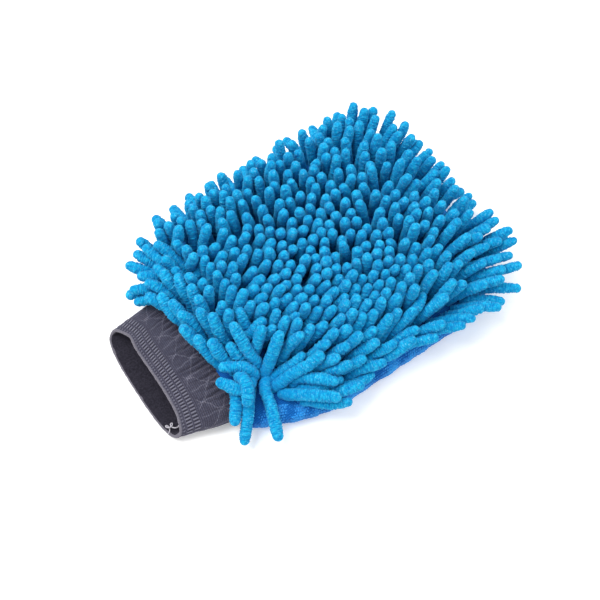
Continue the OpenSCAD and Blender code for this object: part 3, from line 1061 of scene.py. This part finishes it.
def knit_pattern(nodes, across, down, wale, course):
    """0 to 1 height of knitted stitches, from distances in mm. MULTIPLY_ADD adds its default, 0.5."""
    column = nodes.math("SINE", nodes.math("MULTIPLY", across, 2 * math.pi / wale))
    slant = nodes.math("MULTIPLY", nodes.math("ABSOLUTE", column), 0.35)
    row = nodes.math("SINE", nodes.math("MULTIPLY", nodes.math("ADD", down, slant), 2 * math.pi / course))
    return nodes.math("MULTIPLY_ADD", nodes.math("ABSOLUTE", column), nodes.math("MULTIPLY", row, 0.5))


def base_knit_material():
    material = new_material("base_knit", (0.01, 0.16, 0.60), 0.95, 0.2, (0.5, 0.75, 1.0), 0.5)
    nodes = Nodes(material)
    split = nodes.tree.nodes.new("ShaderNodeSeparateXYZ")
    nodes.put(split.inputs[0], nodes.place)
    across = nodes.math("MULTIPLY", split.outputs["X"], 1 / MM)
    down = nodes.math("MULTIPLY", split.outputs["Y"], 1 / MM)
    knit = knit_pattern(nodes, across, down, 2.2, 1.2)
    base = nodes.patches(60.0, (0.003, 0.150, 0.52), (0.006, 0.200, 0.62))
    # painted shade: darker where the knitted stitches sink
    nodes.color(nodes.mix(nodes.spread(knit, -0.3, 1.2), (0.0, 0.03, 0.20), base))
    nodes.bump(knit, 0.0004, 0.8)
    return material


def cuff_knit_material():
    material = new_material("cuff_knit", (0.08, 0.07, 0.09), 0.92, 0.18, (0.85, 0.82, 1.0), 0.5)
    nodes = Nodes(material)
    knit = knit_pattern(nodes, nodes.attribute("around"), nodes.attribute("back"), 2.8, 1.35)
    base = nodes.patches(90.0, (0.090, 0.088, 0.128), (0.125, 0.123, 0.172))
    # painted shade: darker where the knitted stitches sink
    base = nodes.mix(nodes.spread(knit, -0.1, 1.1), (0.020, 0.019, 0.034), base)
    grain = nodes.spread(nodes.noise(950.0, 2.0), 0.57, 0.43)
    base = nodes.tint(base, grain, 0.5, (0.034, 0.033, 0.052))
    base = nodes.tint(base, nodes.attribute("pale"), 0.9, (0.25, 0.245, 0.31))
    # painted shade: darker in the gaps between the knitted bars
    base = nodes.mix(nodes.attribute("gap"), base, (0.014, 0.013, 0.024))
    # painted shade: darker in the gathered folds and the crease
    nodes.color(nodes.mix(nodes.attribute("fold"), base, (0.016, 0.015, 0.026)))
    nodes.bump(nodes.math("ADD", knit, nodes.noise(2400.0, 2.0)), 0.0004, 0.9)
    return material


# The lining is the same yarn as the cuff's outside; its near-black colour is painted shade of the inside of
# the opening.
def shaded_lining_material():
    material = new_material("cuff_lining", (0.02, 0.018, 0.026), 0.95, 0.1, (0.85, 0.82, 1.0), 0.5)
    nodes = Nodes(material)
    grain = nodes.noise(900.0, 3.0)
    nodes.color(nodes.mix(nodes.spread(grain, 0.35, 0.7), (0.014, 0.013, 0.020), (0.030, 0.028, 0.042)))
    nodes.bump(grain, 0.0004, 0.8)
    return material


def thread_material(name, dark, light, sheen):
    material = new_material(name, light, 0.85, sheen, (0.9, 0.9, 1.0), 0.4)
    nodes = Nodes(material)
    grain = nodes.noise(1600.0, 3.0)
    nodes.color(nodes.mix(nodes.spread(grain, 0.3, 0.7), dark, light))
    nodes.bump(grain, 0.0002, 0.8)
    return material


# ---- stage

FLOOR_SIZE, FLOOR_GAP = 4.0, 0.0004
FLOOR_GLOW = 0.18
SKY_STRENGTH = 0.80
# Square soft lights: name, place and side in metres, and power in watts.
LIGHTS = (
    ("key", (-0.45, 0.50, 1.40), 1.0, 19),
    ("fill", (0.9, -0.7, 1.2), 1.4, 6),
)


def add_stage():
    bpy.context.scene.view_settings.view_transform = "Standard"
    bpy.ops.mesh.primitive_plane_add(size=FLOOR_SIZE, location=(0, 0, -FLOOR_GAP))
    floor = bpy.context.object
    floor.name = "floor"
    paper = new_material("floor_paper", (0.93, 0.93, 0.93), 0.8)
    nodes = Nodes(paper)
    nodes.color(nodes.mix(nodes.noise(30.0), (0.965, 0.960, 0.95), (0.985, 0.980, 0.97)))
    nodes.shader.inputs["Emission Color"].default_value = (1, 1, 1, 1)
    nodes.shader.inputs["Emission Strength"].default_value = FLOOR_GLOW
    floor.data.materials.append(paper)
    world = bpy.data.worlds.new("studio")
    world.use_nodes = True
    sky = world.node_tree.nodes["Background"]
    sky.inputs["Color"].default_value = (1, 1, 1, 1)
    sky.inputs["Strength"].default_value = SKY_STRENGTH
    bpy.context.scene.world = world
    for name, place, size, power in LIGHTS:
        light = bpy.data.lights.new(name, "AREA")
        light.size = size
        light.energy = power
        lamp = bpy.data.objects.new(name, light)
        lamp.location = place
        lamp.rotation_euler = (-Vector(place)).to_track_quat("-Z", "Y").to_euler()
        bpy.context.scene.collection.objects.link(lamp)


# ---- build

add_camera()
add_stage()

knit = base_knit_material()
towelling = towelling_material()
cuff_thread = thread_material("grey_thread", (0.02, 0.018, 0.026), (0.06, 0.055, 0.075), 0.2)
front = add_front_cloth(knit)
edge = add_towelling_edge(towelling)
back = add_towelling_back(towelling)
gathered = add_join_seam(cuff_thread)
cuff_outside, cuff_inside = add_cuff_plies(cuff_knit_material(), shaded_lining_material())
cuff_pieces = [cuff_outside, cuff_inside, add_cuff_side_seam(cuff_thread)]
add_cuff_rim(thread_material("cuff_edge", (0.10, 0.095, 0.12), (0.19, 0.18, 0.215), 0.3))
add_thread_tail(thread_material("pale_thread", (0.35, 0.34, 0.38), (0.62, 0.60, 0.66), 0.3))
for piece in cuff_pieces:
    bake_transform(piece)

blue_thread = thread_material("blue_thread", (0.0, 0.05, 0.30), (0.005, 0.16, 0.62), 0.2)
seam = bpy.data.objects["side_seam"]
seam.data.materials.clear()
seam.data.materials.append(blue_thread)

CROSSING_ROWS = 4
for number, piece in enumerate(add_rows(chenille_material())):
    if number < CROSSING_ROWS:
        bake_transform(piece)
    else:
        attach(piece, "mitt")

bpy.context.view_layer.update()
